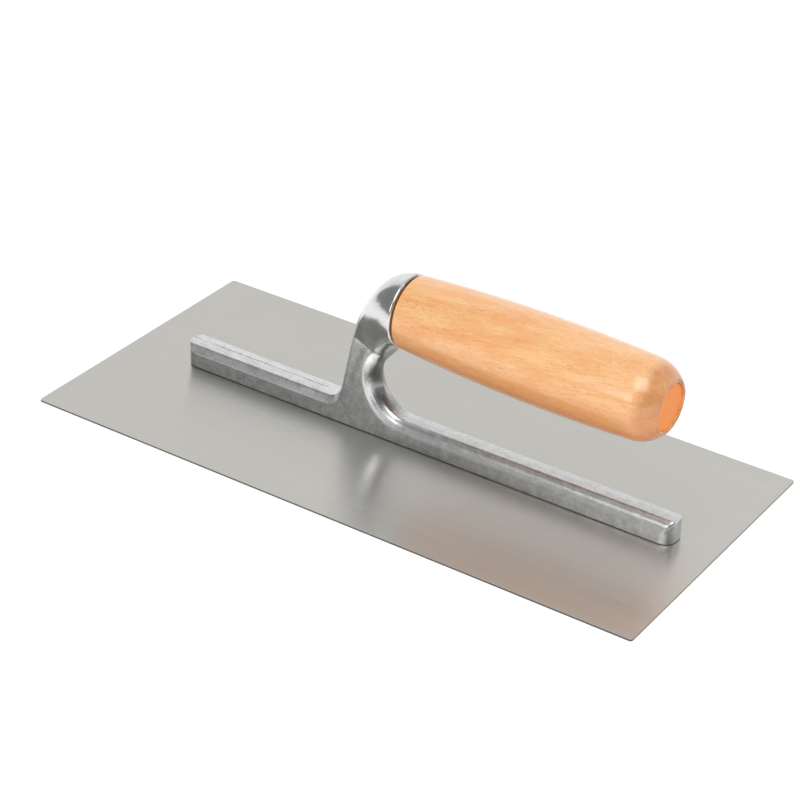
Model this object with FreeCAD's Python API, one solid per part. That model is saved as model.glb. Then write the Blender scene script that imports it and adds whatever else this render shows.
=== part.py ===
import FreeCAD, Part
import math
import os

Vector = FreeCAD.Vector

# A finishing trowel: thin steel blade, cast shank and turned wooden handle.
# X runs along the blade towards the handle's butt, Z is up, and the origin is
# the centre of the blade's underside. All lengths are in millimetres.

# Blade
BLADE_LENGTH = 280.0
BLADE_WIDTH = 130.0
BLADE_THICKNESS = 0.7
BLADE_CORNER_RADIUS = 1.2

# Rivets between the blade and the bar
RIVET_COUNT = 8
RIVET_PITCH = 30.0
RIVET_FIRST_X = -99.0
RIVET_RADIUS = 2.1
RIVET_HEAD_RADIUS = 2.8
RIVET_DEPTH_IN_BAR = 6.0

# Mounting bar of the shank
BAR_TOE_X = -110.6
BAR_HEEL_X = 122.9
BAR_HALF_WIDTH = 6.2
BAR_TOP_HALF_WIDTH = 4.4
BAR_RIDGE_Z = 11.0
BAR_EDGE_DROP = 0.4
BAR_SIDE_DROP = 3.6
BAR_TOE_CORNER_RADIUS = 5.8
BAR_HEEL_CORNER_RADIUS = 5.0

# Neck of the shank: loop behind it, sloping front edge ahead of it
LOOP_CENTRE_Z = 27.6
LOOP_BACK_X = -15.5
LOOP_LOWER_RADIUS = 16.6
LOOP_UPPER_RADIUS = 13.0
NECK_FRONT_SLOPE = 0.21
NECK_FRONT_EDGE_INSET = 0.3
NECK_FRONT_SIDE_INSET = 2.2
NECK_FILLET_RADIUS = 7.0
NECK_TOP_FRONT = Vector(-25.6, 0.0, 43.0)
NECK_TOP_BACK = Vector(-12.2, 0.0, 36.7)

# Handle axis
AXIS_Z = 59.3
AXIS_DROP_DEG = 1.14

# Flare and cup of the shank
CUP_RIM_S = -0.9
CUP_RIM_RADIUS = 15.1
CUP_LIP_RADIUS = 0.7
CUP_SECTIONS = 4
CUP_SECTION_POINTS = 32
CUP_START_SQUARENESS = 4.6
CUP_WIDTH_GROWTH = 1.5
CUP_FRONT_HANDLE_LOW = Vector(2.6, 0.0, 12.0)
CUP_FRONT_HANDLE_HIGH = Vector(-13.0, 0.0, 0.0)
CUP_BACK_HANDLE_LOW = Vector(3.0, 0.0, 3.1)
CUP_BACK_HANDLE_HIGH = Vector(-3.2, 0.0, -1.9)

# Recess in the cup and tapped hole behind it
RECESS_RADIUS = 11.5
RECESS_FLOOR_S = -5.0
TAPPED_HOLE_END_S = -16.0

# Handle
GRIP_MAX_RADIUS = 17.58
GRIP_MAX_S = 63.0
GRIP_ARC_RADIUS = 794.0
GRIP_BUTT_START_S = 104.0
GRIP_END_S = 115.2
GRIP_END_RADIUS = 10.6
GRIP_SHOULDER_ROUND = 0.7
TENON_RADIUS = 11.4
BORE_RADIUS = 3.3
COUNTERBORE_RADIUS = 9.45
COUNTERBORE_FLOOR_S = 98.0
OPENING_ROUND = 0.6

# Fastening inside the handle
BOLT_RADIUS = 3.0
BOLT_TIP_S = -15.0
BOLT_TIP_CHAMFER = 0.6
BOLT_HEAD_FLATS = 10.0
BOLT_HEAD_SIDES = 6
BOLT_HEAD_HEIGHT = 4.0
FLAT_WASHER_RADIUS = 9.0
FLAT_WASHER_THICKNESS = 1.5
LOCK_WASHER_RADIUS = 5.0
LOCK_WASHER_THICKNESS = 1.6
LOCK_WASHER_GAP = 1.2
LOCK_WASHER_GAP_TILT_DEG = 25.0

# Plug
PLUG_RECESS = 0.7
PLUG_FACE_THICKNESS = 2.0
PLUG_SKIRT_LENGTH = 5.0
PLUG_SKIRT_WALL = 1.4
PLUG_EDGE_ROUND = 0.35

CLEARANCE = 1.0  # how far a cutting tool passes the surface it cuts
NEARLY_ONE = 0.99  # a unit tangent's z above this means an upright edge


def point(x, z):
    """Point in the plane of symmetry."""
    return Vector(x, 0, z)


def segment(a, b):
    return Part.makeLine(a, b)


def arc(a, middle, b):
    return Part.Arc(a, middle, b).toShape()


def cylinder_z(radius, z_low, z_high, x):
    return Part.makeCylinder(radius, z_high - z_low, Vector(x, 0, z_low))


def turned(edges):
    """Solid turned about the local X axis from a closed outline in the XZ plane."""
    face = Part.Face(Part.Wire(edges))
    return face.revolve(Vector(0, 0, 0), Vector(1, 0, 0), 360)


def turned_polygon(corners):
    """Turned solid from (s, radius) corners."""
    points = [point(s, r) for s, r in corners]
    points.append(points[0])
    edges = [segment(a, b) for a, b in zip(points, points[1:])]
    return turned(edges)


def cylinder_s(radius, s_low, s_high):
    """Plain cylinder on the local X axis."""
    return Part.makeCylinder(radius, s_high - s_low, Vector(s_low, 0, 0), Vector(1, 0, 0))


def on_handle_axis(shape):
    """Move a shape from the local X axis to the handle's axis."""
    tilt = FreeCAD.Rotation(Vector(0, 1, 0), AXIS_DROP_DEG)
    shape.Placement = FreeCAD.Placement(Vector(0, 0, AXIS_Z), tilt).multiply(shape.Placement)
    return shape


def axis_point(s, up=0.0):
    """Point at distance s along the handle's axis and `up` above it."""
    tilt = math.radians(AXIS_DROP_DEG)
    x = s * math.cos(tilt) + up * math.sin(tilt)
    z = AXIS_Z - s * math.sin(tilt) + up * math.cos(tilt)
    return point(x, z)


# ---------------------------------------------------------------- blade


def rivet_positions():
    return [RIVET_FIRST_X + RIVET_PITCH * i for i in range(RIVET_COUNT)]


def rounded_slab(x_low, x_high, half_width, z_low, z_high, corner):
    """Rectangular slab whose four upright edges are rounded."""
    length = x_high - x_low
    base = Vector(x_low, -half_width, z_low)
    slab = Part.makeBox(length, 2 * half_width, z_high - z_low, base)
    upright = [e for e in slab.Edges if abs(e.tangentAt(e.FirstParameter).z) > NEARLY_ONE]
    return slab.makeFillet(corner, upright)


def rivet_countersink(x):
    return Part.makeCone(RIVET_HEAD_RADIUS, RIVET_RADIUS, BLADE_THICKNESS, Vector(x, 0, 0))


def make_blade():
    half_length = BLADE_LENGTH / 2
    blade = rounded_slab(
        -half_length, half_length, BLADE_WIDTH / 2, 0, BLADE_THICKNESS, BLADE_CORNER_RADIUS
    )
    holes = [rivet_countersink(x) for x in rivet_positions()]
    return blade.cut(holes)


def make_rivet(x):
    top = BLADE_THICKNESS + RIVET_DEPTH_IN_BAR
    body = cylinder_z(RIVET_RADIUS, BLADE_THICKNESS, top, x)
    return rivet_countersink(x).fuse(body).removeSplitter()


def make_rivets():
    return Part.makeCompound([make_rivet(x) for x in rivet_positions()])


# ---------------------------------------------------------------- shank


def line_hits_circle(a, b, centre, radius):
    """The crossing of the line a-b with a circle that lies nearer to b."""
    along = b.sub(a).normalize()
    nearest = a.add(along * centre.sub(a).dot(along))
    reach = math.sqrt(radius**2 - centre.distanceToPoint(nearest) ** 2)
    hits = [nearest.add(along * reach), nearest.sub(along * reach)]
    return min(hits, key=lambda hit: hit.distanceToPoint(b))


def front_x(z, front_inset):
    """The neck's front edge at height z."""
    return NECK_TOP_FRONT.x - NECK_FRONT_SLOPE * (NECK_TOP_FRONT.z - z) + front_inset


def top_front_corner(front_inset):
    """Where the inset front edge meets the slanted top of the neck."""
    slant = NECK_TOP_BACK.sub(NECK_TOP_FRONT)
    rise = slant.z / slant.x
    x = NECK_TOP_FRONT.x + front_inset / (1 - NECK_FRONT_SLOPE * rise)
    return point(x, NECK_TOP_FRONT.z + rise * (x - NECK_TOP_FRONT.x))


def side_outline(y, drop, front_inset):
    """Outline of bar and neck in the plane at y, drawn in by `drop` all round the top."""
    top = BAR_RIDGE_Z - drop
    base = BLADE_THICKNESS
    lower = LOOP_LOWER_RADIUS + drop
    upper = LOOP_UPPER_RADIUS + drop
    lower_centre = point(LOOP_BACK_X + LOOP_LOWER_RADIUS, LOOP_CENTRE_Z)
    upper_centre = point(LOOP_BACK_X + LOOP_UPPER_RADIUS, LOOP_CENTRE_Z)
    loop_foot = point(lower_centre.x, LOOP_CENTRE_Z - lower)
    heel_top = point(BAR_HEEL_X, loop_foot.z)
    loop_back = point(lower_centre.x - lower, LOOP_CENTRE_Z)
    diagonal = lower * math.sqrt(0.5)
    loop_mid = point(lower_centre.x - diagonal, LOOP_CENTRE_Z - diagonal)
    loop_head = line_hits_circle(NECK_TOP_FRONT, NECK_TOP_BACK, upper_centre, upper)
    half_way = loop_back.add(loop_head) * 0.5
    bulge = half_way.sub(upper_centre).normalize()
    head_mid = upper_centre.add(bulge * upper)
    neck_front = top_front_corner(front_inset)

    corner = point(front_x(top, front_inset), top)
    rise = Vector(NECK_FRONT_SLOPE, 0, 1).normalize()
    half_angle = math.acos(-rise.x) / 2
    fillet = NECK_FILLET_RADIUS + drop
    reach = fillet / math.tan(half_angle)
    fillet_top = corner.add(rise * reach)
    fillet_foot = corner.sub(Vector(reach, 0, 0))
    inward = Vector(-1, 0, 0).add(rise).normalize()
    gap = fillet / math.sin(half_angle) - fillet
    fillet_mid = corner.add(inward * gap)

    heel_base = point(BAR_HEEL_X, base)
    toe_base = point(BAR_TOE_X, base)
    toe_top = point(BAR_TOE_X, top)
    edges = [
        segment(toe_base, heel_base),
        segment(heel_base, heel_top),
        segment(heel_top, loop_foot),
        arc(loop_foot, loop_mid, loop_back),
        arc(loop_back, head_mid, loop_head),
        segment(loop_head, neck_front),
        segment(neck_front, fillet_top),
        arc(fillet_top, fillet_mid, fillet_foot),
        segment(fillet_foot, toe_top),
        segment(toe_top, toe_base),
    ]
    wire = Part.Wire(edges)
    wire.translate(Vector(0, y, 0))
    return wire


def bar_end_cutter(x_end, direction, corner):
    """What is cut away to round the bar's end in plan."""
    reach = 2 * BAR_HALF_WIDTH
    inner = x_end - direction * reach
    outer = x_end + direction * CLEARANCE
    x_low = min(inner, outer)
    half = BAR_HALF_WIDTH + CLEARANCE
    height = BAR_RIDGE_Z + CLEARANCE
    block = Part.makeBox(abs(outer - inner), 2 * half, height, Vector(x_low, -half, 0))
    far = inner - direction * reach
    kept = rounded_slab(min(far, x_end), max(far, x_end), BAR_HALF_WIDTH, 0, height, corner)
    return block.cut(kept)


def make_bar_and_neck():
    layers = [
        (-BAR_HALF_WIDTH, BAR_SIDE_DROP, NECK_FRONT_SIDE_INSET),
        (-BAR_TOP_HALF_WIDTH, BAR_EDGE_DROP, NECK_FRONT_EDGE_INSET),
        (0.0, 0.0, 0.0),
        (BAR_TOP_HALF_WIDTH, BAR_EDGE_DROP, NECK_FRONT_EDGE_INSET),
        (BAR_HALF_WIDTH, BAR_SIDE_DROP, NECK_FRONT_SIDE_INSET),
    ]
    wires = [side_outline(*layer) for layer in layers]
    body = Part.makeLoft(wires, True, True)
    body = body.cut(bar_end_cutter(BAR_TOE_X, -1, BAR_TOE_CORNER_RADIUS))
    return body.cut(bar_end_cutter(BAR_HEEL_X, 1, BAR_HEEL_CORNER_RADIUS))


def bezier(start, start_handle, end, end_handle, t):
    """Point on a cubic curve given by its ends and the handles that leave them."""
    a = start.add(start_handle)
    b = end.add(end_handle)
    u = 1 - t
    low = start * u**3 + a * (3 * u**2 * t)
    high = b * (3 * u * t**2) + end * t**3
    return low.add(high)


def power(value, exponent):
    return math.copysign(abs(value) ** exponent, value)


def flare_section(t):
    """Closed section of the flare: a rounded rectangle at t = 0, a circle at t = 1."""
    rim_front = axis_point(CUP_RIM_S, CUP_RIM_RADIUS)
    rim_back = axis_point(CUP_RIM_S, -CUP_RIM_RADIUS)
    front = bezier(NECK_TOP_FRONT, CUP_FRONT_HANDLE_LOW, rim_front, CUP_FRONT_HANDLE_HIGH, t)
    back = bezier(NECK_TOP_BACK, CUP_BACK_HANDLE_LOW, rim_back, CUP_BACK_HANDLE_HIGH, t)
    growth = 1 - (1 - t) ** CUP_WIDTH_GROWTH
    half_width = BAR_HALF_WIDTH + (CUP_RIM_RADIUS - BAR_HALF_WIDTH) * growth
    square_front = 2 + (CUP_START_SQUARENESS - 2) * (1 - t) ** 2
    square_back = 2 + (CUP_START_SQUARENESS - 2) * (1 - t)
    centre = front.add(back) * 0.5
    half_depth = front.sub(back) * 0.5
    points = []
    for i in range(CUP_SECTION_POINTS):
        turn = 2 * math.pi * i / CUP_SECTION_POINTS
        squareness = square_front if math.cos(turn) > 0 else square_back
        across = power(math.sin(turn), 2 / squareness) * half_width
        deep = power(math.cos(turn), 2 / squareness)
        points.append(centre.add(half_depth * deep).add(Vector(0, across, 0)))
    curve = Part.BSplineCurve()
    curve.interpolate(Points=points, PeriodicFlag=True)
    return Part.Wire(curve.toShape())


def make_flare():
    steps = [i / (CUP_SECTIONS - 1) for i in range(CUP_SECTIONS)]
    flare = Part.makeLoft([flare_section(t) for t in steps], True, False)
    rim_centre = axis_point(CUP_RIM_S)
    rim = min(flare.Edges, key=lambda e: e.CenterOfMass.distanceToPoint(rim_centre))
    return flare.makeFillet(CUP_LIP_RADIUS, [rim])


def make_shank():
    body = make_bar_and_neck().fuse(make_flare())
    recess = on_handle_axis(cylinder_s(RECESS_RADIUS, RECESS_FLOOR_S, CLEARANCE))
    tapped = on_handle_axis(cylinder_s(BOLT_RADIUS, TAPPED_HOLE_END_S, CLEARANCE))
    top = BLADE_THICKNESS + RIVET_DEPTH_IN_BAR
    blind = [cylinder_z(RIVET_RADIUS, 0, top, x) for x in rivet_positions()]
    return body.cut([recess, tapped] + blind)


# ---------------------------------------------------------------- handle


def grip_radius(s):
    """Radius of the barrel, which is one long arc."""
    drop = GRIP_ARC_RADIUS - math.sqrt(GRIP_ARC_RADIUS**2 - (s - GRIP_MAX_S) ** 2)
    return GRIP_MAX_RADIUS - drop


def butt_arc():
    """Arc that leaves the barrel along its slope and ends at the butt's face."""
    start = point(GRIP_BUTT_START_S, grip_radius(GRIP_BUTT_START_S))
    end = point(GRIP_END_S, GRIP_END_RADIUS)
    centre_of_barrel = point(GRIP_MAX_S, GRIP_MAX_RADIUS - GRIP_ARC_RADIUS)
    inward = centre_of_barrel.sub(start).normalize()
    chord = end.sub(start)
    radius = chord.dot(chord) / (2 * chord.dot(inward))
    centre = start.add(inward * radius)
    half_way = start.add(end) * 0.5
    middle = centre.add(half_way.sub(centre).normalize() * radius)
    return arc(start, middle, end)


def make_handle():
    shoulder = grip_radius(GRIP_SHOULDER_ROUND)
    low = shoulder - GRIP_SHOULDER_ROUND
    bend = GRIP_SHOULDER_ROUND * (1 - math.sqrt(0.5))
    barrel_start = point(GRIP_SHOULDER_ROUND, shoulder)
    barrel_end = point(GRIP_BUTT_START_S, grip_radius(GRIP_BUTT_START_S))
    end_face = point(GRIP_END_S, GRIP_END_RADIUS)
    lip = point(GRIP_END_S, COUNTERBORE_RADIUS + OPENING_ROUND)
    lip_bend = OPENING_ROUND * (1 - math.sqrt(0.5))
    lip_mid = point(GRIP_END_S - lip_bend, COUNTERBORE_RADIUS + lip_bend)
    opening = point(GRIP_END_S - OPENING_ROUND, COUNTERBORE_RADIUS)
    corners = [
        opening,
        point(COUNTERBORE_FLOOR_S, COUNTERBORE_RADIUS),
        point(COUNTERBORE_FLOOR_S, BORE_RADIUS),
        point(RECESS_FLOOR_S, BORE_RADIUS),
        point(RECESS_FLOOR_S, TENON_RADIUS),
        point(0, TENON_RADIUS),
        point(0, low),
    ]
    edges = [segment(a, b) for a, b in zip(corners, corners[1:])]
    edges.append(arc(point(0, low), point(bend, shoulder - bend), barrel_start))
    edges.append(arc(barrel_start, point(GRIP_MAX_S, GRIP_MAX_RADIUS), barrel_end))
    edges.append(butt_arc())
    edges.append(segment(end_face, lip))
    edges.append(arc(lip, lip_mid, opening))
    return on_handle_axis(turned(edges))


# ---------------------------------------------------------------- fastening


def make_flat_washer():
    s_low = COUNTERBORE_FLOOR_S
    s_high = s_low + FLAT_WASHER_THICKNESS
    disc = cylinder_s(FLAT_WASHER_RADIUS, s_low, s_high)
    return on_handle_axis(disc.cut(cylinder_s(BORE_RADIUS, s_low, s_high)))


def make_lock_washer():
    s_low = COUNTERBORE_FLOOR_S + FLAT_WASHER_THICKNESS
    s_high = s_low + LOCK_WASHER_THICKNESS
    ring = cylinder_s(LOCK_WASHER_RADIUS, s_low, s_high)
    ring = ring.cut(cylinder_s(BORE_RADIUS, s_low, s_high))
    middle = (s_low + s_high) / 2
    size = Vector(4 * LOCK_WASHER_THICKNESS, LOCK_WASHER_GAP, LOCK_WASHER_RADIUS + CLEARANCE)
    slit = Part.makeBox(size.x, size.y, size.z, Vector(-size.x / 2, -size.y / 2, 0))
    slit.rotate(Vector(0, 0, 0), Vector(0, 0, 1), LOCK_WASHER_GAP_TILT_DEG)
    slit.translate(Vector(middle, 0, 0))
    return on_handle_axis(ring.cut(slit))


def make_tie_bolt():
    s_head = COUNTERBORE_FLOOR_S + FLAT_WASHER_THICKNESS + LOCK_WASHER_THICKNESS
    tip = BOLT_TIP_S + BOLT_TIP_CHAMFER
    shaft = turned_polygon(
        [
            (BOLT_TIP_S, 0),
            (BOLT_TIP_S, BOLT_RADIUS - BOLT_TIP_CHAMFER),
            (tip, BOLT_RADIUS),
            (s_head, BOLT_RADIUS),
            (s_head, 0),
        ]
    )
    corner_radius = BOLT_HEAD_FLATS / math.sqrt(3)
    corners = []
    for i in range(BOLT_HEAD_SIDES + 1):
        turn = 2 * math.pi * i / BOLT_HEAD_SIDES
        corners.append(Vector(s_head, corner_radius * math.cos(turn), corner_radius * math.sin(turn)))
    hexagon = Part.Face(Part.makePolygon(corners))
    head = hexagon.extrude(Vector(BOLT_HEAD_HEIGHT, 0, 0))
    return on_handle_axis(shaft.fuse(head).removeSplitter())


def make_end_plug():
    face = GRIP_END_S - PLUG_RECESS
    inside = face - PLUG_FACE_THICKNESS
    bottom = inside - PLUG_SKIRT_LENGTH
    outer = COUNTERBORE_RADIUS
    inner = outer - PLUG_SKIRT_WALL
    bend = PLUG_EDGE_ROUND * (1 - math.sqrt(0.5))
    corners = [
        point(face - PLUG_EDGE_ROUND, outer),
        point(bottom, outer),
        point(bottom, inner),
        point(inside, inner),
        point(inside, 0),
        point(face, 0),
        point(face, outer - PLUG_EDGE_ROUND),
    ]
    edges = [segment(a, b) for a, b in zip(corners, corners[1:])]
    edges.append(arc(corners[-1], point(face - bend, outer - bend), corners[0]))
    return on_handle_axis(turned(edges))


def save(shape, name):
    shape.exportStep(os.path.join("parts", name + ".step"))


os.makedirs("parts", exist_ok=True)
save(make_blade(), "blade")
save(make_rivets(), "blade_rivets")
save(make_shank(), "shank")
save(make_handle(), "handle")
save(make_tie_bolt(), "tie_bolt")
save(make_flat_washer(), "flat_washer")
save(make_lock_washer(), "lock_washer")
save(make_end_plug(), "end_plug")
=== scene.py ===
import math

import bmesh
import bpy
import numpy as np
from mathutils import Matrix, Vector


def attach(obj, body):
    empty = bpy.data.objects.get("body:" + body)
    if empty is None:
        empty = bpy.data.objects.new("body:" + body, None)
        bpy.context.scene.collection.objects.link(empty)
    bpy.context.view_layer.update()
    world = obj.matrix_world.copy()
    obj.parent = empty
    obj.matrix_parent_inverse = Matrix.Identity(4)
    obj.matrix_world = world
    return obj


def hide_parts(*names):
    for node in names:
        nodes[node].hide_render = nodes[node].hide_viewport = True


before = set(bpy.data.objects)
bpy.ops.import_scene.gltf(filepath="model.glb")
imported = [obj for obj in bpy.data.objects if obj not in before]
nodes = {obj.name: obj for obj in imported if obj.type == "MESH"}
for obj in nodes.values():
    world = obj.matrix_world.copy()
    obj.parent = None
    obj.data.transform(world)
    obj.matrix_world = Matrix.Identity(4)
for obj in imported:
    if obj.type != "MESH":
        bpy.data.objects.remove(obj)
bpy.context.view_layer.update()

scene = bpy.context.scene
MM = 0.001
SHARP_ANGLE = math.radians(26)

# ------------------------------------------------------------------ camera

CAMERA_TARGET = Vector((-0.02102, 0.02410, 0.0))
CAMERA_AZIMUTH = math.radians(33.657)
CAMERA_ELEVATION = math.radians(30.979)
CAMERA_ROLL = math.radians(1.474)
CAMERA_DISTANCE = 0.99038
CAMERA_LENS, CAMERA_SENSOR = 107.425, 36.0
CAMERA_NEAR = 0.01


def make_camera():
    data = bpy.data.cameras.new("camera")
    data.lens = CAMERA_LENS
    data.sensor_width = CAMERA_SENSOR
    data.clip_start = CAMERA_NEAR
    camera = bpy.data.objects.new("camera", data)
    scene.collection.objects.link(camera)
    level = math.cos(CAMERA_ELEVATION)
    back = Vector(
        (
            level * math.sin(CAMERA_AZIMUTH),
            -level * math.cos(CAMERA_AZIMUTH),
            math.sin(CAMERA_ELEVATION),
        )
    )
    turn = back.to_track_quat("Z", "Y").to_matrix().to_4x4()
    roll = Matrix.Rotation(CAMERA_ROLL, 4, "Z")
    place = Matrix.Translation(CAMERA_TARGET + back * CAMERA_DISTANCE)
    camera.matrix_world = place @ turn @ roll
    scene.camera = camera


# ------------------------------------------------------------------ node helpers


def new_material(name):
    material = bpy.data.materials.new(name)
    material.use_nodes = True
    tree = material.node_tree
    tree.nodes.clear()
    return material, tree


def add(tree, kind, inputs=None, **settings):
    node = tree.nodes.new(kind)
    for key, value in settings.items():
        setattr(node, key, value)
    for key, value in (inputs or {}).items():
        put(tree, value, node.inputs[key])
    return node


def put(tree, value, socket):
    """Link a socket to an input, or set the input's value."""
    if isinstance(value, bpy.types.NodeSocket):
        tree.links.new(value, socket)
    else:
        socket.default_value = value


def maths(tree, operation, a, b=0.0):
    return add(tree, "ShaderNodeMath", {0: a, 1: b}, operation=operation).outputs[0]


def remap(tree, value, low, high, to_low=0.0, to_high=1.0, smooth=False):
    kind = "SMOOTHSTEP" if smooth else "LINEAR"
    inputs = {0: value, 1: low, 2: high, 3: to_low, 4: to_high}
    return add(tree, "ShaderNodeMapRange", inputs, interpolation_type=kind).outputs[0]


# ------------------------------------------------------------------ studio

BACKDROP_LEVEL = 1.0
CEILING_LEVEL = 0.85
ROOM_LEVEL = 0.25
# Where one level fades into the next: sines of the elevation, cosines of the angle from the front.
BACKDROP_TOP = (0.55, 0.85)
WALL_TOP = (0.86, 0.98)
WALL_FOOT = (0.0, 0.03)
ROOM_EDGE, ROOM_EDGE_BLUR = math.cos(math.radians(104)), 0.06
SOFTBOX_AIM = Vector((0.0, 0.0, 0.04))
FLOOR_TONE, FLOOR_GLOW = 0.56, 1.1
FLOOR_HALF, FLOOR_Z = 6.0, -0.0003


def make_world():
    """A white backdrop behind and above, and the dim room on the camera's side."""
    world = bpy.data.worlds.new("studio")
    scene.world = world
    world.use_nodes = True
    tree = world.node_tree
    tree.nodes.clear()
    direction = add(tree, "ShaderNodeTexCoord").outputs["Generated"]
    parts = add(tree, "ShaderNodeSeparateXYZ", {0: direction}).outputs
    level = add(tree, "ShaderNodeCombineXYZ", {0: parts[0], 1: parts[1]}).outputs[0]
    flat = add(tree, "ShaderNodeVectorMath", {0: level}, operation="NORMALIZE").outputs["Vector"]
    to_front = {0: flat, 1: (0.0, -1.0, 0.0)}
    front = add(tree, "ShaderNodeVectorMath", to_front, operation="DOT_PRODUCT").outputs["Value"]
    facing = remap(tree, front, ROOM_EDGE - ROOM_EDGE_BLUR, ROOM_EDGE + ROOM_EDGE_BLUR, smooth=True)
    backdrop = remap(tree, parts[2], *BACKDROP_TOP, BACKDROP_LEVEL, CEILING_LEVEL, smooth=True)
    walls = remap(tree, parts[2], *WALL_TOP, ROOM_LEVEL, CEILING_LEVEL, smooth=True)
    room = remap(tree, parts[2], *WALL_FOOT, BACKDROP_LEVEL, walls, smooth=True)
    strength = remap(tree, facing, 0.0, 1.0, backdrop, room)
    background = add(tree, "ShaderNodeBackground", {"Color": (1, 1, 1, 1), "Strength": strength})
    output = add(tree, "ShaderNodeOutputWorld")
    tree.links.new(background.outputs[0], output.inputs["Surface"])


def make_softbox(name, azimuth, elevation, distance, width, height, radiance):
    """A rectangular light that faces the trowel; azimuth in degrees from -Y towards +X."""
    data = bpy.data.lights.new(name, "AREA")
    data.shape = "RECTANGLE"
    data.size, data.size_y = width, height
    data.energy = radiance * math.pi * width * height
    light = bpy.data.objects.new(name, data)
    scene.collection.objects.link(light)
    turn, rise = math.radians(azimuth), math.radians(elevation)
    level = math.cos(rise)
    away = Vector((level * math.sin(turn), -level * math.cos(turn), math.sin(rise)))
    place = Matrix.Translation(SOFTBOX_AIM + away * distance)
    light.matrix_world = place @ away.to_track_quat("Z", "Y").to_matrix().to_4x4()


def make_lights():
    low = {"azimuth": -8, "elevation": 23, "distance": 1.3}
    high = {"azimuth": 28, "elevation": 60, "distance": 1.2}
    make_softbox("front_softbox", **low, width=0.36, height=0.42, radiance=4.6)
    make_softbox("upper_softbox", **high, width=0.75, height=0.75, radiance=3.6)


def make_floor():
    """White paper under the trowel."""
    mesh = bpy.data.meshes.new("floor")
    half = FLOOR_HALF
    corners = [(-half, -half, 0), (half, -half, 0), (half, half, 0), (-half, half, 0)]
    mesh.from_pydata(corners, [], [(0, 1, 2, 3)])
    floor = bpy.data.objects.new("floor", mesh)
    floor.location.z = FLOOR_Z
    scene.collection.objects.link(floor)
    material, tree = new_material("paper")
    tone = (FLOOR_TONE, FLOOR_TONE, FLOOR_TONE, 1)
    finish(tree, {
        "Base Color": tone,
        "Roughness": 0.8,
        "Emission Color": tone,
        "Emission Strength": FLOOR_GLOW,
    })
    mesh.materials.append(material)


# ------------------------------------------------------------------ casting

# The casting's places and outlines, in millimetres, are those of the CAD part.
HALF_WIDTH = 6.2
BASE_Z = 0.7
RIDGE_Z = 11.0
TOE_X, TOE_CORNER, TOE_EDGE = -110.6, 5.8, 0.35
HEEL_X, HEEL_CORNER, HEEL_EDGE = 122.9, 5.0, 1.1
FOOT_CHAMFER = 0.45
LOOP_Z, LOOP_X, LOOP_LOW, LOOP_HIGH = 27.6, -15.5, 16.6, 13.0
FRONT_SLOPE, FRONT_FILLET = 0.21, 7.0
NECK_FRONT = Vector((-25.6, 0.0, 43.0))
NECK_BACK = Vector((-12.2, 0.0, 36.7))
CREASE_SLOPE = (NECK_BACK.z - NECK_FRONT.z) / (NECK_BACK.x - NECK_FRONT.x)
AXIS_Z, AXIS_DROP = 59.3, math.radians(1.14)
RIM_S, RIM_RADIUS, LIP_ROUND = -0.9, 15.1, 1.0
RECESS_S, RECESS_RADIUS = -5.0, 11.5
HOLE_S, HOLE_RADIUS = -16.0, 3.0
FRONT_LEAVES, FRONT_ARRIVES = Vector((2.6, 0, 12.0)), Vector((-13.0, 0, 0))
BACK_LEAVES, BACK_ARRIVES = Vector((3.0, 0, 3.1)), Vector((-3.2, 0, -1.9))
WIDTH_GROWTH, CREASE_SOFTNESS = 1.5, 0.05
BACK_ROUNDING = 1.6
BACK_FROM, BACK_SPAN = 0.2, 0.9
END_TURN = math.radians(40)

# Half sections, rounder than the CAD part's: (distance from the middle, drop below the ridge,
# rounding) at each corner.
# The loop's section is also crowned: CROWN is how far it peaks, CROWN_ROUND how round the peak is.
# MIDDLE_SHARES places the points between the ridge and the first corner.
TOE_SECTION = [(0, 0, 0), (4.4, 0.4, 1.6), (5.35, 2.0, 0.5), (6.2, 3.6, 0.6), (6.2, 4.6, 0)]
HEEL_SECTION = [(0, 0, 0), (3.4, 0.3, 2.8), (5.0, 2.0, 5.5), (6.0, 5.0, 12.0), (6.2, 7.4, 0)]
LOOP_SECTION = [(0, 0.3, 0), (3.6, 1.0, 3.5), (4.95, 2.2, 1.0), (6.2, 3.5, 1.7), (6.2, 4.9, 0)]
NECK_SECTION = [(0, 0, 0), (4.4, 0.3, 2.4), (5.3, 1.12, 0.4), (6.2, 2.0, 1.6), (6.2, 4.0, 0)]
CROWN, CROWN_ROUND = 2.4, 0.8
MIDDLE_SHARES = (0.0, 0.03, 0.06, 0.1, 0.2, 0.4, 0.6, 0.8)

BAR_STEP = 1.6
CURVE_STEP = 0.5
CORNER_STEPS = 24
BEND_STEPS = 6
LIP_STEPS = 8
NECK_STEPS = 40
CREASE_STEPS = 18
FLARE_RINGS = 44

# Traces of the mould: a flash line along the toe's top and a seam round the heel's end.
FLASH_HEIGHT, FLASH_STARTS = 0.09, 6.0
SEAM_Z, SEAM_HEIGHT = 5.8, 0.07
SEAM_GAPS = (0.45, 0.2, 0.0, -0.2, -0.45)
SEAM_FROM, SEAM_SPAN = 0.3, 0.4
LEAST_STEP = 0.05


def axis_point(s, up=0.0):
    """Point at distance s along the handle's axis and `up` above it."""
    x = s * math.cos(AXIS_DROP) + up * math.sin(AXIS_DROP)
    return Vector((x, 0.0, AXIS_Z - s * math.sin(AXIS_DROP) + up * math.cos(AXIS_DROP)))


def smooth(value):
    value = min(1.0, max(0.0, value))
    return value * value * (3 - 2 * value)


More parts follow.
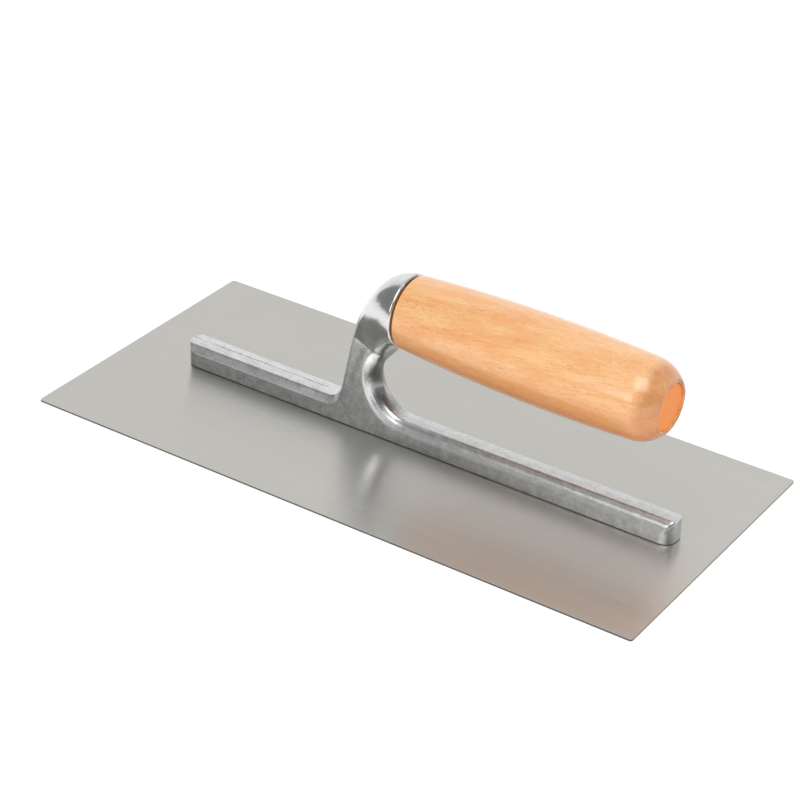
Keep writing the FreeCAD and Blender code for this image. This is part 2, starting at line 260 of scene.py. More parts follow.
def rounded_corner(before, corner, after, radius):
    """Points of the arc that rounds a polygon's corner."""
    a, b = before - corner, after - corner
    half = a.angle(b) / 2
    reach = radius / math.tan(half)
    a, b = a.normalized(), b.normalized()
    centre = corner + (a + b).normalized() * (radius / math.sin(half))
    start, end = (corner + a * reach - centre).normalized(), (corner + b * reach - centre).normalized()
    return [centre + start.slerp(end, i / BEND_STEPS) * radius for i in range(BEND_STEPS + 1)]


def half_section(corners, crown=0.0):
    """Points (distance, drop) from the ridge to where the side is upright."""
    c = [Vector((y, drop, 0)) for y, drop, _ in corners]
    bends = [rounded_corner(*c[i - 1 : i + 2], corners[i][2]) for i in range(1, len(c) - 1)]
    points = [c[0].lerp(bends[0][0], share) for share in MIDDLE_SHARES] + bends[0]
    for bend in bends[1:]:
        points += [points[-1].lerp(bend[0], 0.5)] + bend
    points.append(c[-1])
    widest = math.hypot(HALF_WIDTH, CROWN_ROUND)
    peaks = [crown * (1 - math.hypot(p.x, CROWN_ROUND) / widest) for p in points]
    return np.array([(p.x, p.y - peak) for p, peak in zip(points, peaks)])


def blended(a, b, count):
    return [a + (b - a) * smooth(i / (count - 1)) for i in range(count)]


def arc_points(centre, radius, start, end):
    """(point, inward normal) along an arc of the side outline; angles in radians."""
    count = math.ceil(abs(end - start) * radius / CURVE_STEP)
    points = []
    for i in range(count + 1):
        angle = start + (end - start) * i / count
        ray = Vector((math.cos(angle), 0.0, math.sin(angle)))
        points.append((centre + ray * radius, -ray))
    return points


def edge_rows(path, sections):
    """A row of points for each (point, normal) of a path, shaped by its own half section."""
    rows = []
    for (point, normal), section in zip(path, sections):
        rows.append([point - normal * drop + Vector((0, y, 0)) for y, drop in section])
    return rows


def end_drop(x, y, end_x, corner, edge):
    """How far the top is lowered at (x, y) to round the edge of the bar's end."""
    forward = abs(x) - (abs(end_x) - corner)
    sideways = y - (HALF_WIDTH - corner)
    if forward <= 0:
        return 0.0
    if sideways <= 0:
        inside, turn = corner - forward, 1.0
    else:
        inside = max(0.0, corner - math.hypot(forward, sideways))
        turn = smooth(math.atan2(forward, sideways) / END_TURN)
    gap = max(0.0, edge - inside)
    return turn * (edge - math.sqrt(edge**2 - gap**2))


def bar_rows(end_x, foot_x, corner, edge, section, flash=0.0):
    """Rows over the bar's top, from its rounded end to the foot of the neck."""
    side = math.copysign(1, end_x)
    turns = [math.pi / 2 * i / CORNER_STEPS for i in range(CORNER_STEPS)]
    rounded = [(end_x - side * corner * (1 - math.cos(a)), corner * math.sin(a)) for a in turns]
    straight = end_x - side * corner
    count = math.ceil(abs(straight - foot_x) / BAR_STEP)
    places = rounded + [(straight + (foot_x - straight) * i / count, corner) for i in range(count + 1)]
    rows = []
    for x, reach in places:
        shrink = (HALF_WIDTH - corner + reach) / HALF_WIDTH
        row = []
        for y, drop in section:
            if shrink < 1:
                y *= shrink
                drop = float(np.interp(y, section[:, 0], section[:, 1]))
            row.append(Vector((x, y, RIDGE_Z - drop - end_drop(x, y, end_x, corner, edge))))
        row[0].z += flash * smooth(abs(end_x - x) / FLASH_STARTS - 1)
        rows.append(row)
    return rows


def front_rows():
    """Toe half of the bar, the fillet and the front of the neck, up to the crease."""
    toe, neck = half_section(TOE_SECTION), half_section(NECK_SECTION)
    rise = Vector((FRONT_SLOPE, 0, 1)).normalized()
    foot_x = NECK_FRONT.x - FRONT_SLOPE * (NECK_FRONT.z - RIDGE_Z)
    half_angle = math.acos(-rise.x) / 2
    centre = Vector((foot_x - FRONT_FILLET / math.tan(half_angle), 0, RIDGE_Z + FRONT_FILLET))
    start = -math.pi / 2
    fillet = arc_points(centre, FRONT_FILLET, start, start + math.pi - 2 * half_angle)
    normal = Vector((-rise.z, 0, rise.x))
    foot = fillet[-1][0]
    steps = [i / NECK_STEPS for i in range(1, NECK_STEPS + 1)]
    line = [(foot.lerp(NECK_FRONT, step), normal) for step in steps]
    rows = bar_rows(TOE_X, centre.x, TOE_CORNER, TOE_EDGE, toe, FLASH_HEIGHT)[:-1]
    rows += edge_rows(fillet, blended(toe, neck, len(fillet)))
    return rows + edge_rows(line, [neck] * len(line))


def back_rows():
    """Heel half of the bar and the loop behind the neck, up to the crease."""
    heel, loop = half_section(HEEL_SECTION), half_section(LOOP_SECTION, CROWN)
    low_centre = Vector((LOOP_X + LOOP_LOW, 0, LOOP_Z))
    high_centre = Vector((LOOP_X + LOOP_HIGH, 0, LOOP_Z))
    to_crease = NECK_BACK - high_centre
    low = arc_points(low_centre, LOOP_LOW, -math.pi / 2, -math.pi)
    high = arc_points(high_centre, LOOP_HIGH, math.pi, math.atan2(to_crease.z, to_crease.x))
    rows = bar_rows(HEEL_X, low_centre.x, HEEL_CORNER, HEEL_EDGE, heel)[:-1]
    rows += edge_rows(low, blended(heel, loop, len(low)))
    return rows + edge_rows(high, [loop] * len(high))[1:]


def cubic(start, start_handle, end, end_handle, t):
    a, b, u = start + start_handle, end + end_handle, 1 - t
    return start * u**3 + a * (3 * u * u * t) + b * (3 * u * t * t) + end * t**3


def flare_rings(front_row, back_row):
    """Half rings from the crease to the rim, each from the middle of the back to the front's."""
    crease = [back_row[-1].lerp(front_row[-1], i / CREASE_STEPS) for i in range(1, CREASE_STEPS)]
    first = back_row + crease + front_row[::-1]
    front_start, back_start = front_row[0], back_row[0]
    rim_s = RIM_S - LIP_ROUND
    front_end, back_end = axis_point(rim_s, RIM_RADIUS), axis_point(rim_s, -RIM_RADIUS)
    centre = (front_start + back_start) / 2
    unit = (front_start - back_start).normalized()
    half_depth = (front_start - back_start).length / 2
    normal = Vector((-unit.z, 0, unit.x))
    shape = []
    for point in first:
        arm = point - centre
        shape.append((arm.dot(unit) / half_depth, arm.y / HALF_WIDTH, arm.dot(normal)))
    rings = [first]
    for j in range(1, FLARE_RINGS + 1):
        t = j / FLARE_RINGS
        front = cubic(front_start, FRONT_LEAVES, front_end, FRONT_ARRIVES, t)
        back = cubic(back_start, BACK_LEAVES, back_end, BACK_ARRIVES, t)
        middle, arm = (front + back) / 2, (front - back) / 2
        out = Vector((-arm.z, 0, arm.x)).normalized()
        eased = t * t * (1 + CREASE_SOFTNESS) / (t + CREASE_SOFTNESS)
        half_width = HALF_WIDTH + (RIM_RADIUS - HALF_WIDTH) * (1 - (1 - eased) ** WIDTH_GROWTH)
        ring = []
        for deep, wide, skew in shape:
            angle = math.atan2(wide, deep)
            front_roundness, back_roundness = 1 - (1 - t) ** 2, t**BACK_ROUNDING
            backness = smooth((BACK_FROM - deep) / BACK_SPAN)
            share = front_roundness + (back_roundness - front_roundness) * backness
            deep += (math.cos(angle) - deep) * share
            wide += (math.sin(angle) - wide) * share
            point = middle + arm * deep + out * (skew * (1 - t) ** 3)
            ring.append(point + Vector((0, wide * half_width, 0)))
        rings.append(ring)
    return rings


def cup_rings(rim_ring):
    """Half rings round the lip, over the rim's face and down into the recess."""
    start_s = RIM_S - LIP_ROUND
    profile = []
    for i in range(1, LIP_STEPS + 1):
        turn = math.pi / 2 * i / LIP_STEPS
        radius = RIM_RADIUS - LIP_ROUND * (1 - math.cos(turn))
        profile.append((start_s + LIP_ROUND * math.sin(turn), radius))
    profile += [(RIM_S, RECESS_RADIUS), (RECESS_S, RECESS_RADIUS)]
    profile += [(RECESS_S, HOLE_RADIUS), (HOLE_S, HOLE_RADIUS), (HOLE_S, 0.0)]
    centre = axis_point(start_s)
    up = (axis_point(start_s, 1.0) - centre).normalized()
    angles = [math.atan2(point.y, (point - centre).dot(up)) for point in rim_ring]
    rings = []
    for s, radius in profile:
        asides = [Vector((0, radius * math.sin(a), 0)) for a in angles]
        rings.append([axis_point(s, radius * math.cos(a)) + aside for a, aside in zip(angles, asides)])
    return rings


def wall_columns(rows, end_x, corner, seam):
    """Columns down the upright wall round one end of the bar, from one side to the other."""
    side = math.copysign(1, end_x)
    corner_row = [row[-1] for row in rows[CORNER_STEPS::-1]]
    half = corner_row[:-1] + rows[0][:0:-1]
    tops = half + [rows[0][0]] + [mirrored(point) for point in half[::-1]]
    columns = []
    for top in tops:
        forward = max(0.0, abs(top.x) - (abs(end_x) - corner)) * side
        sideways = math.copysign(max(0.0, abs(top.y) - (HALF_WIDTH - corner)), top.y)
        normal = Vector((forward, sideways, 0)).normalized()
        column = [top]
        for gap in SEAM_GAPS:
            proud = seam * smooth(1 - abs(gap) / SEAM_GAPS[0])
            proud *= smooth((abs(normal.x) - SEAM_FROM) / SEAM_SPAN)
            z = min(SEAM_Z + gap, column[-1].z - LEAST_STEP)
            column.append(Vector((top.x, top.y, z)) + normal * proud)
        column.append(Vector((top.x, top.y, BASE_Z + FOOT_CHAMFER)))
        column.append(Vector((top.x, top.y, BASE_Z)) - normal * FOOT_CHAMFER)
        columns.append(column)
    return columns


def mirrored(point):
    return Vector((point.x, -point.y, point.z))


def across(row):
    """A half row made whole by its mirror image."""
    return [mirrored(point) for point in row[:0:-1]] + row


def around(ring):
    """A half ring made into a closed one by its mirror image."""
    return ring + [mirrored(point) for point in ring[-2:0:-1]] + ring[:1]


class Skin:
    """A mesh in the making, in millimetres, whose faces share every point they have in common."""

    def __init__(self):
        self.mesh = bmesh.new()
        self.corners = {}

    def corner(self, point):
        key = tuple(round(value, 4) for value in point)
        if key not in self.corners:
            self.corners[key] = self.mesh.verts.new(point)
        return self.corners[key]

    def polygon(self, points):
        corners = list(dict.fromkeys(self.corner(point) for point in points))
        if len(corners) > 2:
            self.mesh.faces.new(corners)

    def grid(self, rows):
        for a, b in zip(rows, rows[1:]):
            for i in range(len(a) - 1):
                self.polygon((a[i], a[i + 1], b[i + 1], b[i]))


def casting_skin():
    """The whole outside of the casting: bar, neck, flare, cup, walls, sides and foot."""
    front, back = front_rows(), back_rows()
    rings = flare_rings(front[-1], back[-1])
    toe_wall = wall_columns(front, TOE_X, TOE_CORNER, 0.0)
    heel_wall = wall_columns(back, HEEL_X, HEEL_CORNER, SEAM_HEIGHT)
    skin = Skin()
    for rows in (front, back):
        skin.grid([across(row) for row in rows])
    skin.grid([around(ring) for ring in rings + cup_rings(rings[-1])])
    for wall in (toe_wall, heel_wall):
        skin.grid(wall)
    crease = rings[0][len(back[0]) : -len(front[0])]
    side = [row[-1] for row in front[CORNER_STEPS:]] + crease[::-1]
    side += [row[-1] for row in back[: CORNER_STEPS - 1 : -1]]
    side += heel_wall[0][1:-1] + toe_wall[0][-2:0:-1]
    foot = [heel_wall[0][-2], heel_wall[0][-1], toe_wall[0][-1], toe_wall[0][-2]]
    for outline in (side, foot):
        skin.polygon(outline)
        skin.polygon([mirrored(point) for point in outline])
    skin.polygon([column[-1] for column in toe_wall + heel_wall[::-1]])
    return skin


# How far each part was polished, the heights over which it changes, and how near a point lies to
# the upright side to count as part of it.
HEEL_POLISH, LOOP_POLISH, LOOP_POLISH_SPAN = 0.35, 0.9, 6.0
TOE_POLISH, TOE_CHAMFER_POLISH, TOE_POLISH_SPAN = 0.6, 0.2, 0.6
BAR_MEETS_LOOP = LOOP_X - 4
FLARE_MARGIN, FLAT_MARGIN, ON_SIDE = 0.1, 0.15, 0.001


def polish_at(point):
    """How far the casting was polished at a point: not on its flat sides, fully on its loop and cup."""
    x, y, z = point
    if abs(abs(y) - HALF_WIDTH) < ON_SIDE:
        return 0.0
    if z > crease_height(x) + FLARE_MARGIN:
        return 1.0
    flat = smooth((abs(y) - HALF_WIDTH + FLAT_MARGIN) / FLAT_MARGIN)
    if x > BAR_MEETS_LOOP:
        risen = smooth((z - RIDGE_Z - 1) / LOOP_POLISH_SPAN)
        polished = HEEL_POLISH + (LOOP_POLISH - HEEL_POLISH) * risen
    else:
        fallen = smooth((RIDGE_Z - 0.5 - z) / TOE_POLISH_SPAN)
        polished = TOE_POLISH + (TOE_CHAMFER_POLISH - TOE_POLISH) * fallen
    return polished * (1 - flat)


def crease_height(x):
    """Height of the line where the flat neck starts to flare, at x."""
    return NECK_FRONT.z + CREASE_SLOPE * (min(x, NECK_BACK.x) - NECK_FRONT.x)


def make_casting():
    """The casting as a piece, with how far it was polished stored at each point."""
    bm = casting_skin().mesh
    bmesh.ops.recalc_face_normals(bm, faces=bm.faces)
    layer = bm.verts.layers.float.new("polish")
    for vert in bm.verts:
        vert[layer] = polish_at(vert.co)
    for edge in bm.edges:
        edge.smooth = all(len(face.verts) < 5 for face in edge.link_faces)
    return finished("shank_casting", bm, "shank")


def finished(name, bm, node):
    """A piece from a mesh in millimetres that stands for a CAD node."""
    bmesh.ops.scale(bm, vec=(MM, MM, MM), verts=bm.verts)
    mesh = bpy.data.meshes.new(name)
    bm.to_mesh(mesh)
    bm.free()
    mesh.shade_smooth()
    mesh.set_sharp_from_angle(angle=SHARP_ANGLE)
    piece = bpy.data.objects.new(name, mesh)
    scene.collection.objects.link(piece)
    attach(piece, "root")
    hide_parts(node)
    return piece


# ------------------------------------------------------------------ materials

# Inputs of the shader's noise, colour and roughness are written where they are used: sizes and
# distances in millimetres, colours and tones as linear light.
TO_MM = 1 / MM
GRAIN_SLANT = (0.0, math.radians(7), math.radians(-4))
SCRAPE_ANGLE = math.radians(12)
CREASE_RISE = 1.3
# Pairs of x between which a part of the casting begins or ends, or a trace, a darkening or a painted
# shade on it fades.
TOE_BEGINS = (-36.0, -44.0)
HEEL_BEGINS = (-15.0, 10.0)
LOOP_ENDS = (20.0, 10.0)
FLASH_FADES = (-78.0, -58.0)
FLANK_FADES = (20.0, 100.0)
RAW_RIM_FROM, RAW_RIM_BLUR = 115.6, 0.5


def position(tree):
    """The point being shaded, in millimetres, and its x, y and z."""
    coordinates = add(tree, "ShaderNodeTexCoord").outputs["Object"]
    scaling = add(tree, "ShaderNodeVectorMath", {0: coordinates, "Scale": TO_MM}, operation="SCALE")
    point = scaling.outputs["Vector"]
    return point, add(tree, "ShaderNodeSeparateXYZ", {0: point}).outputs


def stretched(tree, point, sizes):
    """The point measured in steps of the given sizes along x, y and z."""
    scale = tuple(1.0 / size for size in sizes)
    return add(tree, "ShaderNodeVectorMath", {0: point, 1: scale}, operation="MULTIPLY").outputs["Vector"]


def noise(tree, point, size=1.0, detail=2.0, roughness=0.5, distortion=0.0):
    """Noise whose grains are about `size` millimetres across."""
    inputs = {"Vector": point, "Scale": 1.0 / size, "Detail": detail, "Roughness": roughness,
              "Distortion": distortion}
    return add(tree, "ShaderNodeTexNoise", inputs).outputs[0]


def mixed(tree, share, a, b):
    """Colour a turning into colour b as share goes from 0 to 1."""
    node = add(tree, "ShaderNodeMix", {0: share}, data_type="RGBA")
    put(tree, colour(a), node.inputs[6])
    put(tree, colour(b), node.inputs[7])
    return node.outputs[2]


def colour(value):
    return value if isinstance(value, bpy.types.NodeSocket) else (*value, 1.0)


def bump(tree, height):
    """Normals for a height given in millimetres."""
    return add(tree, "ShaderNodeBump", {"Distance": MM, "Height": height}).outputs["Normal"]


def scaled(tree, value, factor):
    return maths(tree, "MULTIPLY", value, factor)


def total(tree, *values):
    result = values[0]
    for value in values[1:]:
        result = maths(tree, "ADD", result, value)
    return result


def finish(tree, inputs):
    shader = add(tree, "ShaderNodeBsdfPrincipled", inputs)
    output = add(tree, "ShaderNodeOutputMaterial")
    tree.links.new(shader.outputs[0], output.inputs["Surface"])


def blade_material():
    """Ground and brushed steel, with its grooves along x, and painted shade on its upright edges."""
    material, tree = new_material("brushed_steel")
    point, _ = position(tree)
    fine = noise(tree, stretched(tree, point, (50.0, 0.35, 1.0)), detail=2.0, roughness=0.6)
    broad = noise(tree, stretched(tree, point, (90.0, 1.6, 1.0)), detail=3.0, roughness=0.6)
    clouds = noise(tree, point, 38.0, detail=3.0)
    specks = remap(tree, noise(tree, point, 0.9, detail=1.0), 0.79, 0.82)
    streaks = total(tree, scaled(tree, broad, 0.08), scaled(tree, fine, 0.06))
    tone = total(tree, 0.515, streaks, scaled(tree, clouds, 0.03))
    tint = {0: tone, 1: scaled(tree, tone, 0.985), 2: scaled(tree, tone, 0.93)}
    warm = add(tree, "ShaderNodeCombineColor", tint)
    rough = total(tree, 0.21, scaled(tree, broad, 0.12), scaled(tree, clouds, 0.06))
    rough = total(tree, rough, scaled(tree, specks, 0.15))
    height = total(tree, scaled(tree, fine, 0.0005), scaled(tree, broad, 0.0008))
    height = total(tree, height, scaled(tree, specks, -0.003))
    normal = add(tree, "ShaderNodeNewGeometry").outputs["True Normal"]
    upright = maths(tree, "ABSOLUTE", add(tree, "ShaderNodeSeparateXYZ", {0: normal}).outputs[2])
    # Painted shade on the blade's upright edges, which are darkened like the specks.
    edge_shade = remap(tree, upright, 0.6, 0.4)
    dark = maths(tree, "MAXIMUM", scaled(tree, specks, 0.5), edge_shade)
    finish(tree, {
        "Base Color": mixed(tree, dark, warm.outputs[0], (0.12, 0.115, 0.11)),
        "Metallic": 1.0,
        "Roughness": rough,
        "Anisotropic": 0.86,
        "Tangent": add(tree, "ShaderNodeCombineXYZ", {1: 1.0}).outputs[0],
        "Normal": bump(tree, height),
    })
    return material


def casting_material():
    """Die-cast aluminium: dull and mottled where it is as cast, bright where it was polished, with white
    specks painted as glints.
    """
    material, tree = new_material("cast_aluminium")
    point, xyz = position(tree)
    polish = add(tree, "ShaderNodeAttribute", attribute_name="polish").outputs["Fac"]
    dull = maths(tree, "SUBTRACT", 1.0, polish)
    patches = noise(tree, point, 3.2, detail=4.0, roughness=0.65)
    grain = noise(tree, point, 0.55, detail=2.0)
    waves = noise(tree, point, 4.0, detail=2.0)
    pits = remap(tree, noise(tree, point, 0.5, detail=1.0, roughness=0.4), 0.7, 0.76)
    specks = painted_glint_specks(tree, point, xyz, patches, dull)
    tone = casting_tone(tree, point, xyz, patches, pits, dull)
    cool = add(tree, "ShaderNodeCombineColor", {0: scaled(tree, tone, 0.99), 1: tone, 2: tone}).outputs[0]
    rough = total(
        tree,
        remap(tree, dull, 0.0, 1.0, 0.19, 0.38),
        scaled(tree, maths(tree, "SUBTRACT", patches, 0.4), 0.14),
        scaled(tree, pits, 0.1),
    )
    height = total(
        tree,
        maths(tree, "MULTIPLY", grain, remap(tree, dull, 0.0, 1.0, 0.007, 0.028)),
        scaled(tree, waves, 0.06),
        scaled(tree, pits, -0.012),
        scaled(tree, specks, 0.01),
    )
    # The specks are painted glints: white, less metallic spots that stand in for the glints of small
    # dents.
    finish(tree, {
        "Base Color": mixed(tree, specks, cool, (0.85, 0.85, 0.85)),
        "Metallic": remap(tree, specks, 0.0, 1.0, 1.0, 0.4),
        "Roughness": rough,
        "Normal": bump(tree, height),
    })
    return material


def painted_glint_specks(tree, point, xyz, patches, dull):
    """Where painted glints lie: white specks standing in for the glints of small dents, here and there on
    the dull skin and close together under the crease.
    """
    under_crease = crease_distance(tree, xyz)
    crease_glint_crowding = remap(tree, total(tree, under_crease, scaled(tree, patches, -7.0)), 0.5, -2.5)
    crease_glint_crowding = maths(tree, "MULTIPLY", crease_glint_crowding, maths(tree, "GREATER_THAN", under_crease, 0.0))
    glint_noise = noise(tree, add_offset(tree, point, 40.0), 0.8, detail=3.0, roughness=0.6)
    glint_noise = remap(tree, total(tree, glint_noise, scaled(tree, crease_glint_crowding, 0.16)), 0.60, 0.72)
    return maths(tree, "MULTIPLY", glint_noise, remap(tree, dull, 0.0, 0.6, 0.1, 0.6))


def casting_tone(tree, point, xyz, patches, pits, dull):
    """Lightness of the metal: mottled and pitted, brighter on the toe and up in the cup; darker on the
    flash line and low on the heel's flanks, with painted shade deep in the loop, along the foot and on
    the heel's sloping faces.
    """
    spots = noise(tree, point, 1.1, detail=3.0, roughness=0.6)
    cloudy = remap(tree, total(tree, patches, scaled(tree, spots, 0.7)), 1.05, 0.65)
    mottle = maths(tree, "MULTIPLY", cloudy, remap(tree, dull, 0.0, 1.0, 0.09, 0.21))
    ground = remap(tree, xyz[0], -36.0, -10.0, 0.8, 0.68, smooth=True)
    bright = remap(tree, xyz[2], 13.0, 20.0, ground, 0.8, smooth=True)
    tone = maths(tree, "SUBTRACT", remap(tree, dull, 0.0, 1.0, bright, 0.72), mottle)
    tone = maths(tree, "MULTIPLY", tone, remap(tree, pits, 0.0, 1.0, 1.0, 0.75))
    # Painted shade deep in the loop.
    tone = maths(tree, "MULTIPLY", tone, loop_shade(tree, xyz, patches))
    on_toe = remap(tree, xyz[0], *TOE_BEGINS)
    light = maths(tree, "MULTIPLY", on_toe, light_traces(tree, point, xyz, patches))
    tone = maths(tree, "ADD", tone, light)
    return maths(tree, "MULTIPLY", tone, flash_and_painted_shade(tree, xyz, patches, on_toe))


def crease_distance(tree, xyz):
    """Millimetres below the line where the neck starts to flare."""
    along = maths(tree, "SUBTRACT", maths(tree, "MINIMUM", xyz[0], NECK_BACK.x), NECK_FRONT.x)
    line = total(tree, scaled(tree, along, CREASE_SLOPE), NECK_FRONT.z + CREASE_RISE)
    return maths(tree, "SUBTRACT", line, xyz[2])


def loop_shade(tree, xyz, patches):
    """Painted shade: what remains of the tone deep in the loop, where its faces turn towards +x."""
    normal = add(tree, "ShaderNodeNewGeometry").outputs["Normal"]
    facing = remap(tree, add(tree, "ShaderNodeSeparateXYZ", {0: normal}).outputs[0], 0.25, 0.6)
    off_middle = maths(tree, "ABSOLUTE", xyz[1])
    middle = remap(tree, total(tree, off_middle, scaled(tree, patches, 2.0)), 6.5, 5.3)
    near = remap(tree, xyz[0], *LOOP_ENDS)
    shade = maths(tree, "MULTIPLY", maths(tree, "MULTIPLY", facing, middle), near)
    return maths(tree, "SUBTRACT", 1.0, scaled(tree, shade, 0.5))


def light_traces(tree, point, xyz, patches):
    """How much lighter the toe is along its lower edges and in the scrapes on its top."""
    from_edge = maths(tree, "ABSOLUTE", maths(tree, "SUBTRACT", xyz[2], RIDGE_Z - TOE_SECTION[-2][1]))
    edge = remap(tree, total(tree, from_edge, scaled(tree, patches, 0.5)), 0.6, 0.3, 0.0, 0.16)
    turned = {"Vector": point, "Axis": (0.0, 0.0, 1.0), "Angle": SCRAPE_ANGLE}
    along = add(tree, "ShaderNodeVectorRotate", turned, rotation_type="AXIS_ANGLE").outputs["Vector"]
    scrapes = noise(tree, stretched(tree, along, (7.0, 0.5, 7.0)), detail=2.0, roughness=0.5)
    on_top = remap(tree, xyz[2], RIDGE_Z - 1.0, RIDGE_Z - 0.5)
    scrapes = maths(tree, "MULTIPLY", remap(tree, scrapes, 0.3, 0.7, -0.11, 0.09), on_top)
    return total(tree, edge, scrapes)


def flash_and_painted_shade(tree, xyz, patches, on_toe):
    """What remains of the tone on the flash line, where the heel's flanks grow darker towards the bottom,
    and under painted shade along the foot and on the heel's sloping faces.
    """
    # Painted shade: a dark line along the foot, where the casting meets the blade.
    foot_contact_shade = remap(tree, total(tree, xyz[2], scaled(tree, patches, -0.5)), 0.85, 0.6)
    off_middle = maths(tree, "ABSOLUTE", total(tree, xyz[1], scaled(tree, patches, 0.7), -0.35))
    flash = remap(tree, total(tree, off_middle, scaled(tree, patches, 1.3)), 1.0, 0.6)
    flash_fades = remap(tree, xyz[0], *FLASH_FADES, 0.5, 0.15)
    flash = maths(tree, "MULTIPLY", maths(tree, "MULTIPLY", flash, on_toe), flash_fades)
    # Darker towards the bottom of the heel's flanks, less so towards its end.
    low = total(tree, xyz[2], scaled(tree, patches, -3.0))
    flank_fades = remap(tree, xyz[0], *FLANK_FADES, 1.0, 0.1)
    flank = maths(tree, "MULTIPLY", remap(tree, low, 4.5, 0.5, 0.0, 0.26), flank_fades)
    # Painted shade over the heel's sloping faces, which dims their highlight.
    beside = remap(tree, maths(tree, "ABSOLUTE", xyz[1]), 3.4, 4.4)
    heel_slope_shade = maths(tree, "MULTIPLY", remap(tree, xyz[2], 4.5, 6.5, 0.0, 0.18), beside)
    on_heel = remap(tree, xyz[0], *HEEL_BEGINS)
    heel = maths(tree, "MULTIPLY", maths(tree, "MAXIMUM", flank, heel_slope_shade), on_heel)
    dark = maths(tree, "MAXIMUM", maths(tree, "MAXIMUM", scaled(tree, foot_contact_shade, 0.85), flash), heel)
    return maths(tree, "SUBTRACT", 1.0, dark)


def add_offset(tree, point, distance):
    offset = (distance, distance, distance)
    return add(tree, "ShaderNodeVectorMath", {0: point, 1: offset}, operation="ADD").outputs["Vector"]


def along_handle(tree, point):
    """The point in the handle's own frame, with x along its axis."""
    inputs = {"Vector": point, "Center": (0.0, 0.0, AXIS_Z), "Axis": (0.0, 1.0, 0.0), "Angle": -AXIS_DROP}
    return add(tree, "ShaderNodeVectorRotate", inputs, rotation_type="AXIS_ANGLE").outputs["Vector"]


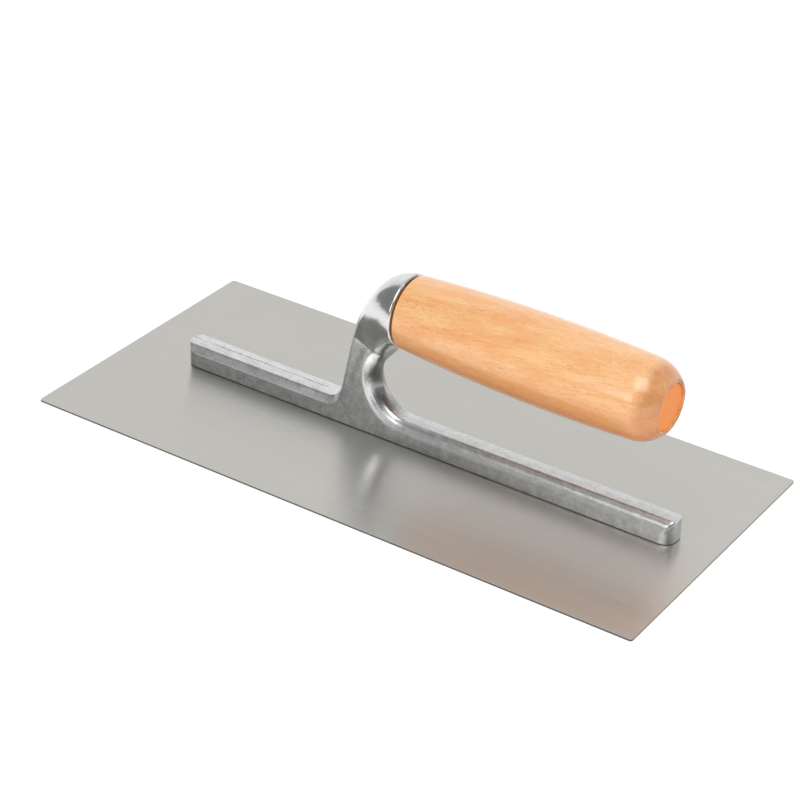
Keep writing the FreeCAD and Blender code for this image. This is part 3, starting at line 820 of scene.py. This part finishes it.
def wood_material():
    """Lacquered beech: fibres and short ray flecks nearly along the handle, darker at its end, with
    painted shade on its lower half and underside.
    """
    material, tree = new_material("beech")
    handle = along_handle(tree, position(tree)[0])
    slant = {"Vector": handle, "Rotation": GRAIN_SLANT}
    grain = add(tree, "ShaderNodeVectorRotate", slant, rotation_type="EULER_XYZ").outputs["Vector"]
    fibres = noise(tree, stretched(tree, grain, (9.0, 0.4, 0.4)), detail=3.0, roughness=0.6)
    flecks = noise(tree, stretched(tree, grain, (1.9, 0.3, 0.3)), detail=1.0, roughness=0.4)
    zones = noise(tree, stretched(tree, grain, (30.0, 7.0, 7.0)), detail=1.0)
    crowding = remap(tree, zones, 0.35, 0.6, 0.25, 1.0)
    flecks = maths(tree, "MULTIPLY", remap(tree, flecks, 0.60, 0.69), crowding)
    rings = noise(tree, stretched(tree, grain, (70.0, 5.0, 3.0)), detail=2.0, distortion=0.5)
    blotches = noise(tree, stretched(tree, grain, (14.0, 6.0, 6.0)), detail=2.0)
    normal = add(tree, "ShaderNodeNewGeometry").outputs["Normal"]
    axis = (math.cos(AXIS_DROP), 0.0, -math.sin(AXIS_DROP))
    endways = add(tree, "ShaderNodeVectorMath", {0: normal, 1: axis}, operation="DOT_PRODUCT")
    endways = total(tree, endways.outputs["Value"], scaled(tree, blotches, 0.2))
    end_grain = remap(tree, endways, 0.28, 0.55)
    from_start = add(tree, "ShaderNodeSeparateXYZ", {0: handle}).outputs[0]
    from_start = total(tree, from_start, scaled(tree, blotches, 1.6))
    raw_rim = remap(tree, from_start, RAW_RIM_FROM, RAW_RIM_FROM + RAW_RIM_BLUR)
    shade = total(tree, scaled(tree, rings, 0.6), scaled(tree, blotches, 0.5), scaled(tree, fibres, 0.8))
    ground = mixed(tree, remap(tree, shade, 0.78, 1.12), (0.94, 0.42, 0.145), (1.0, 0.60, 0.28))
    flecked = mixed(tree, scaled(tree, flecks, 0.55), ground, (0.60, 0.20, 0.05))
    burnt = maths(tree, "MULTIPLY", end_grain, remap(tree, blotches, 0.4, 0.7, 0.5, 0.95))
    surface = mixed(tree, burnt, flecked, (0.57, 0.205, 0.052))
    surface = mixed(tree, scaled(tree, raw_rim, 0.75), surface, (0.43, 0.26, 0.165))
    # Painted shade: the lower half turns a deeper orange and the underside dark brown.
    down = scaled(tree, add(tree, "ShaderNodeSeparateXYZ", {0: normal}).outputs[2], -1.0)
    surface = mixed(tree, remap(tree, down, -0.25, 0.6, 0.0, 0.65), surface, (0.76, 0.22, 0.02))
    surface = mixed(tree, remap(tree, down, 0.65, 0.95, 0.0, 0.85), surface, (0.22, 0.105, 0.055))
    height = total(tree, scaled(tree, fibres, 0.005), scaled(tree, flecks, -0.004))
    height = total(tree, height, scaled(tree, blotches, 0.1))
    finish(tree, {
        "Base Color": surface,
        "Roughness": remap(tree, fibres, 0.3, 0.7, 0.4, 0.52),
        "Normal": bump(tree, height),
        "Coat Weight": remap(tree, raw_rim, 0.0, 1.0, 1.0, 0.0),
        "Coat Roughness": 0.2,
        "Coat IOR": 1.55,
        "Subsurface Weight": 0.08,
        "Subsurface Radius": (0.0025, 0.0011, 0.0005),
    })
    return material


def plug_material():
    """Satin moulded plastic, orange."""
    material, tree = new_material("orange_plastic")
    point = position(tree)[0]
    grain = noise(tree, point, 0.35, detail=2.0)
    clouds = noise(tree, point, 5.0, detail=2.0)
    finish(tree, {
        "Base Color": mixed(tree, clouds, (0.96, 0.27, 0.03), (1.0, 0.31, 0.045)),
        "Specular IOR Level": 0.2,
        "Roughness": remap(tree, grain, 0.3, 0.7, 0.32, 0.46),
        "Normal": bump(tree, total(tree, scaled(tree, grain, 0.004), scaled(tree, clouds, 0.03))),
        "Subsurface Weight": 0.2,
        "Subsurface Radius": (0.003, 0.001, 0.0004),
    })
    return material


def fastener_material(name, tone, tint, roughness):
    """Plain or zinc-plated steel, slightly cloudy."""
    material, tree = new_material(name)
    point = position(tree)[0]
    grain = noise(tree, point, 0.3, detail=2.0)
    clouds = noise(tree, point, 2.5, detail=3.0)
    light = tuple(tone * part for part in tint)
    dark = tuple(0.8 * part for part in light)
    finish(tree, {
        "Base Color": mixed(tree, clouds, dark, light),
        "Metallic": 1.0,
        "Roughness": remap(tree, clouds, 0.3, 0.7, roughness, roughness + 0.12),
        "Normal": bump(tree, scaled(tree, grain, 0.004)),
    })
    return material


def paint(piece, material):
    """Give a piece one material in place of its own."""
    mesh = piece.data
    mesh.materials.clear()
    mesh.materials.append(material)


make_camera()
make_world()
make_lights()
make_floor()
scene.view_settings.view_transform = "Standard"

paint(make_casting(), casting_material())
paint(nodes["blade"], blade_material())
paint(nodes["blade_rivets"], fastener_material("rivet_steel", 0.5, (1.0, 0.98, 0.95), 0.3))
zinc = fastener_material("zinc_steel", 0.7, (0.95, 0.98, 1.0), 0.25)
for name in ("tie_bolt", "flat_washer", "lock_washer"):
    paint(nodes[name], zinc)
paint(nodes["handle"], wood_material())
paint(nodes["end_plug"], plug_material())

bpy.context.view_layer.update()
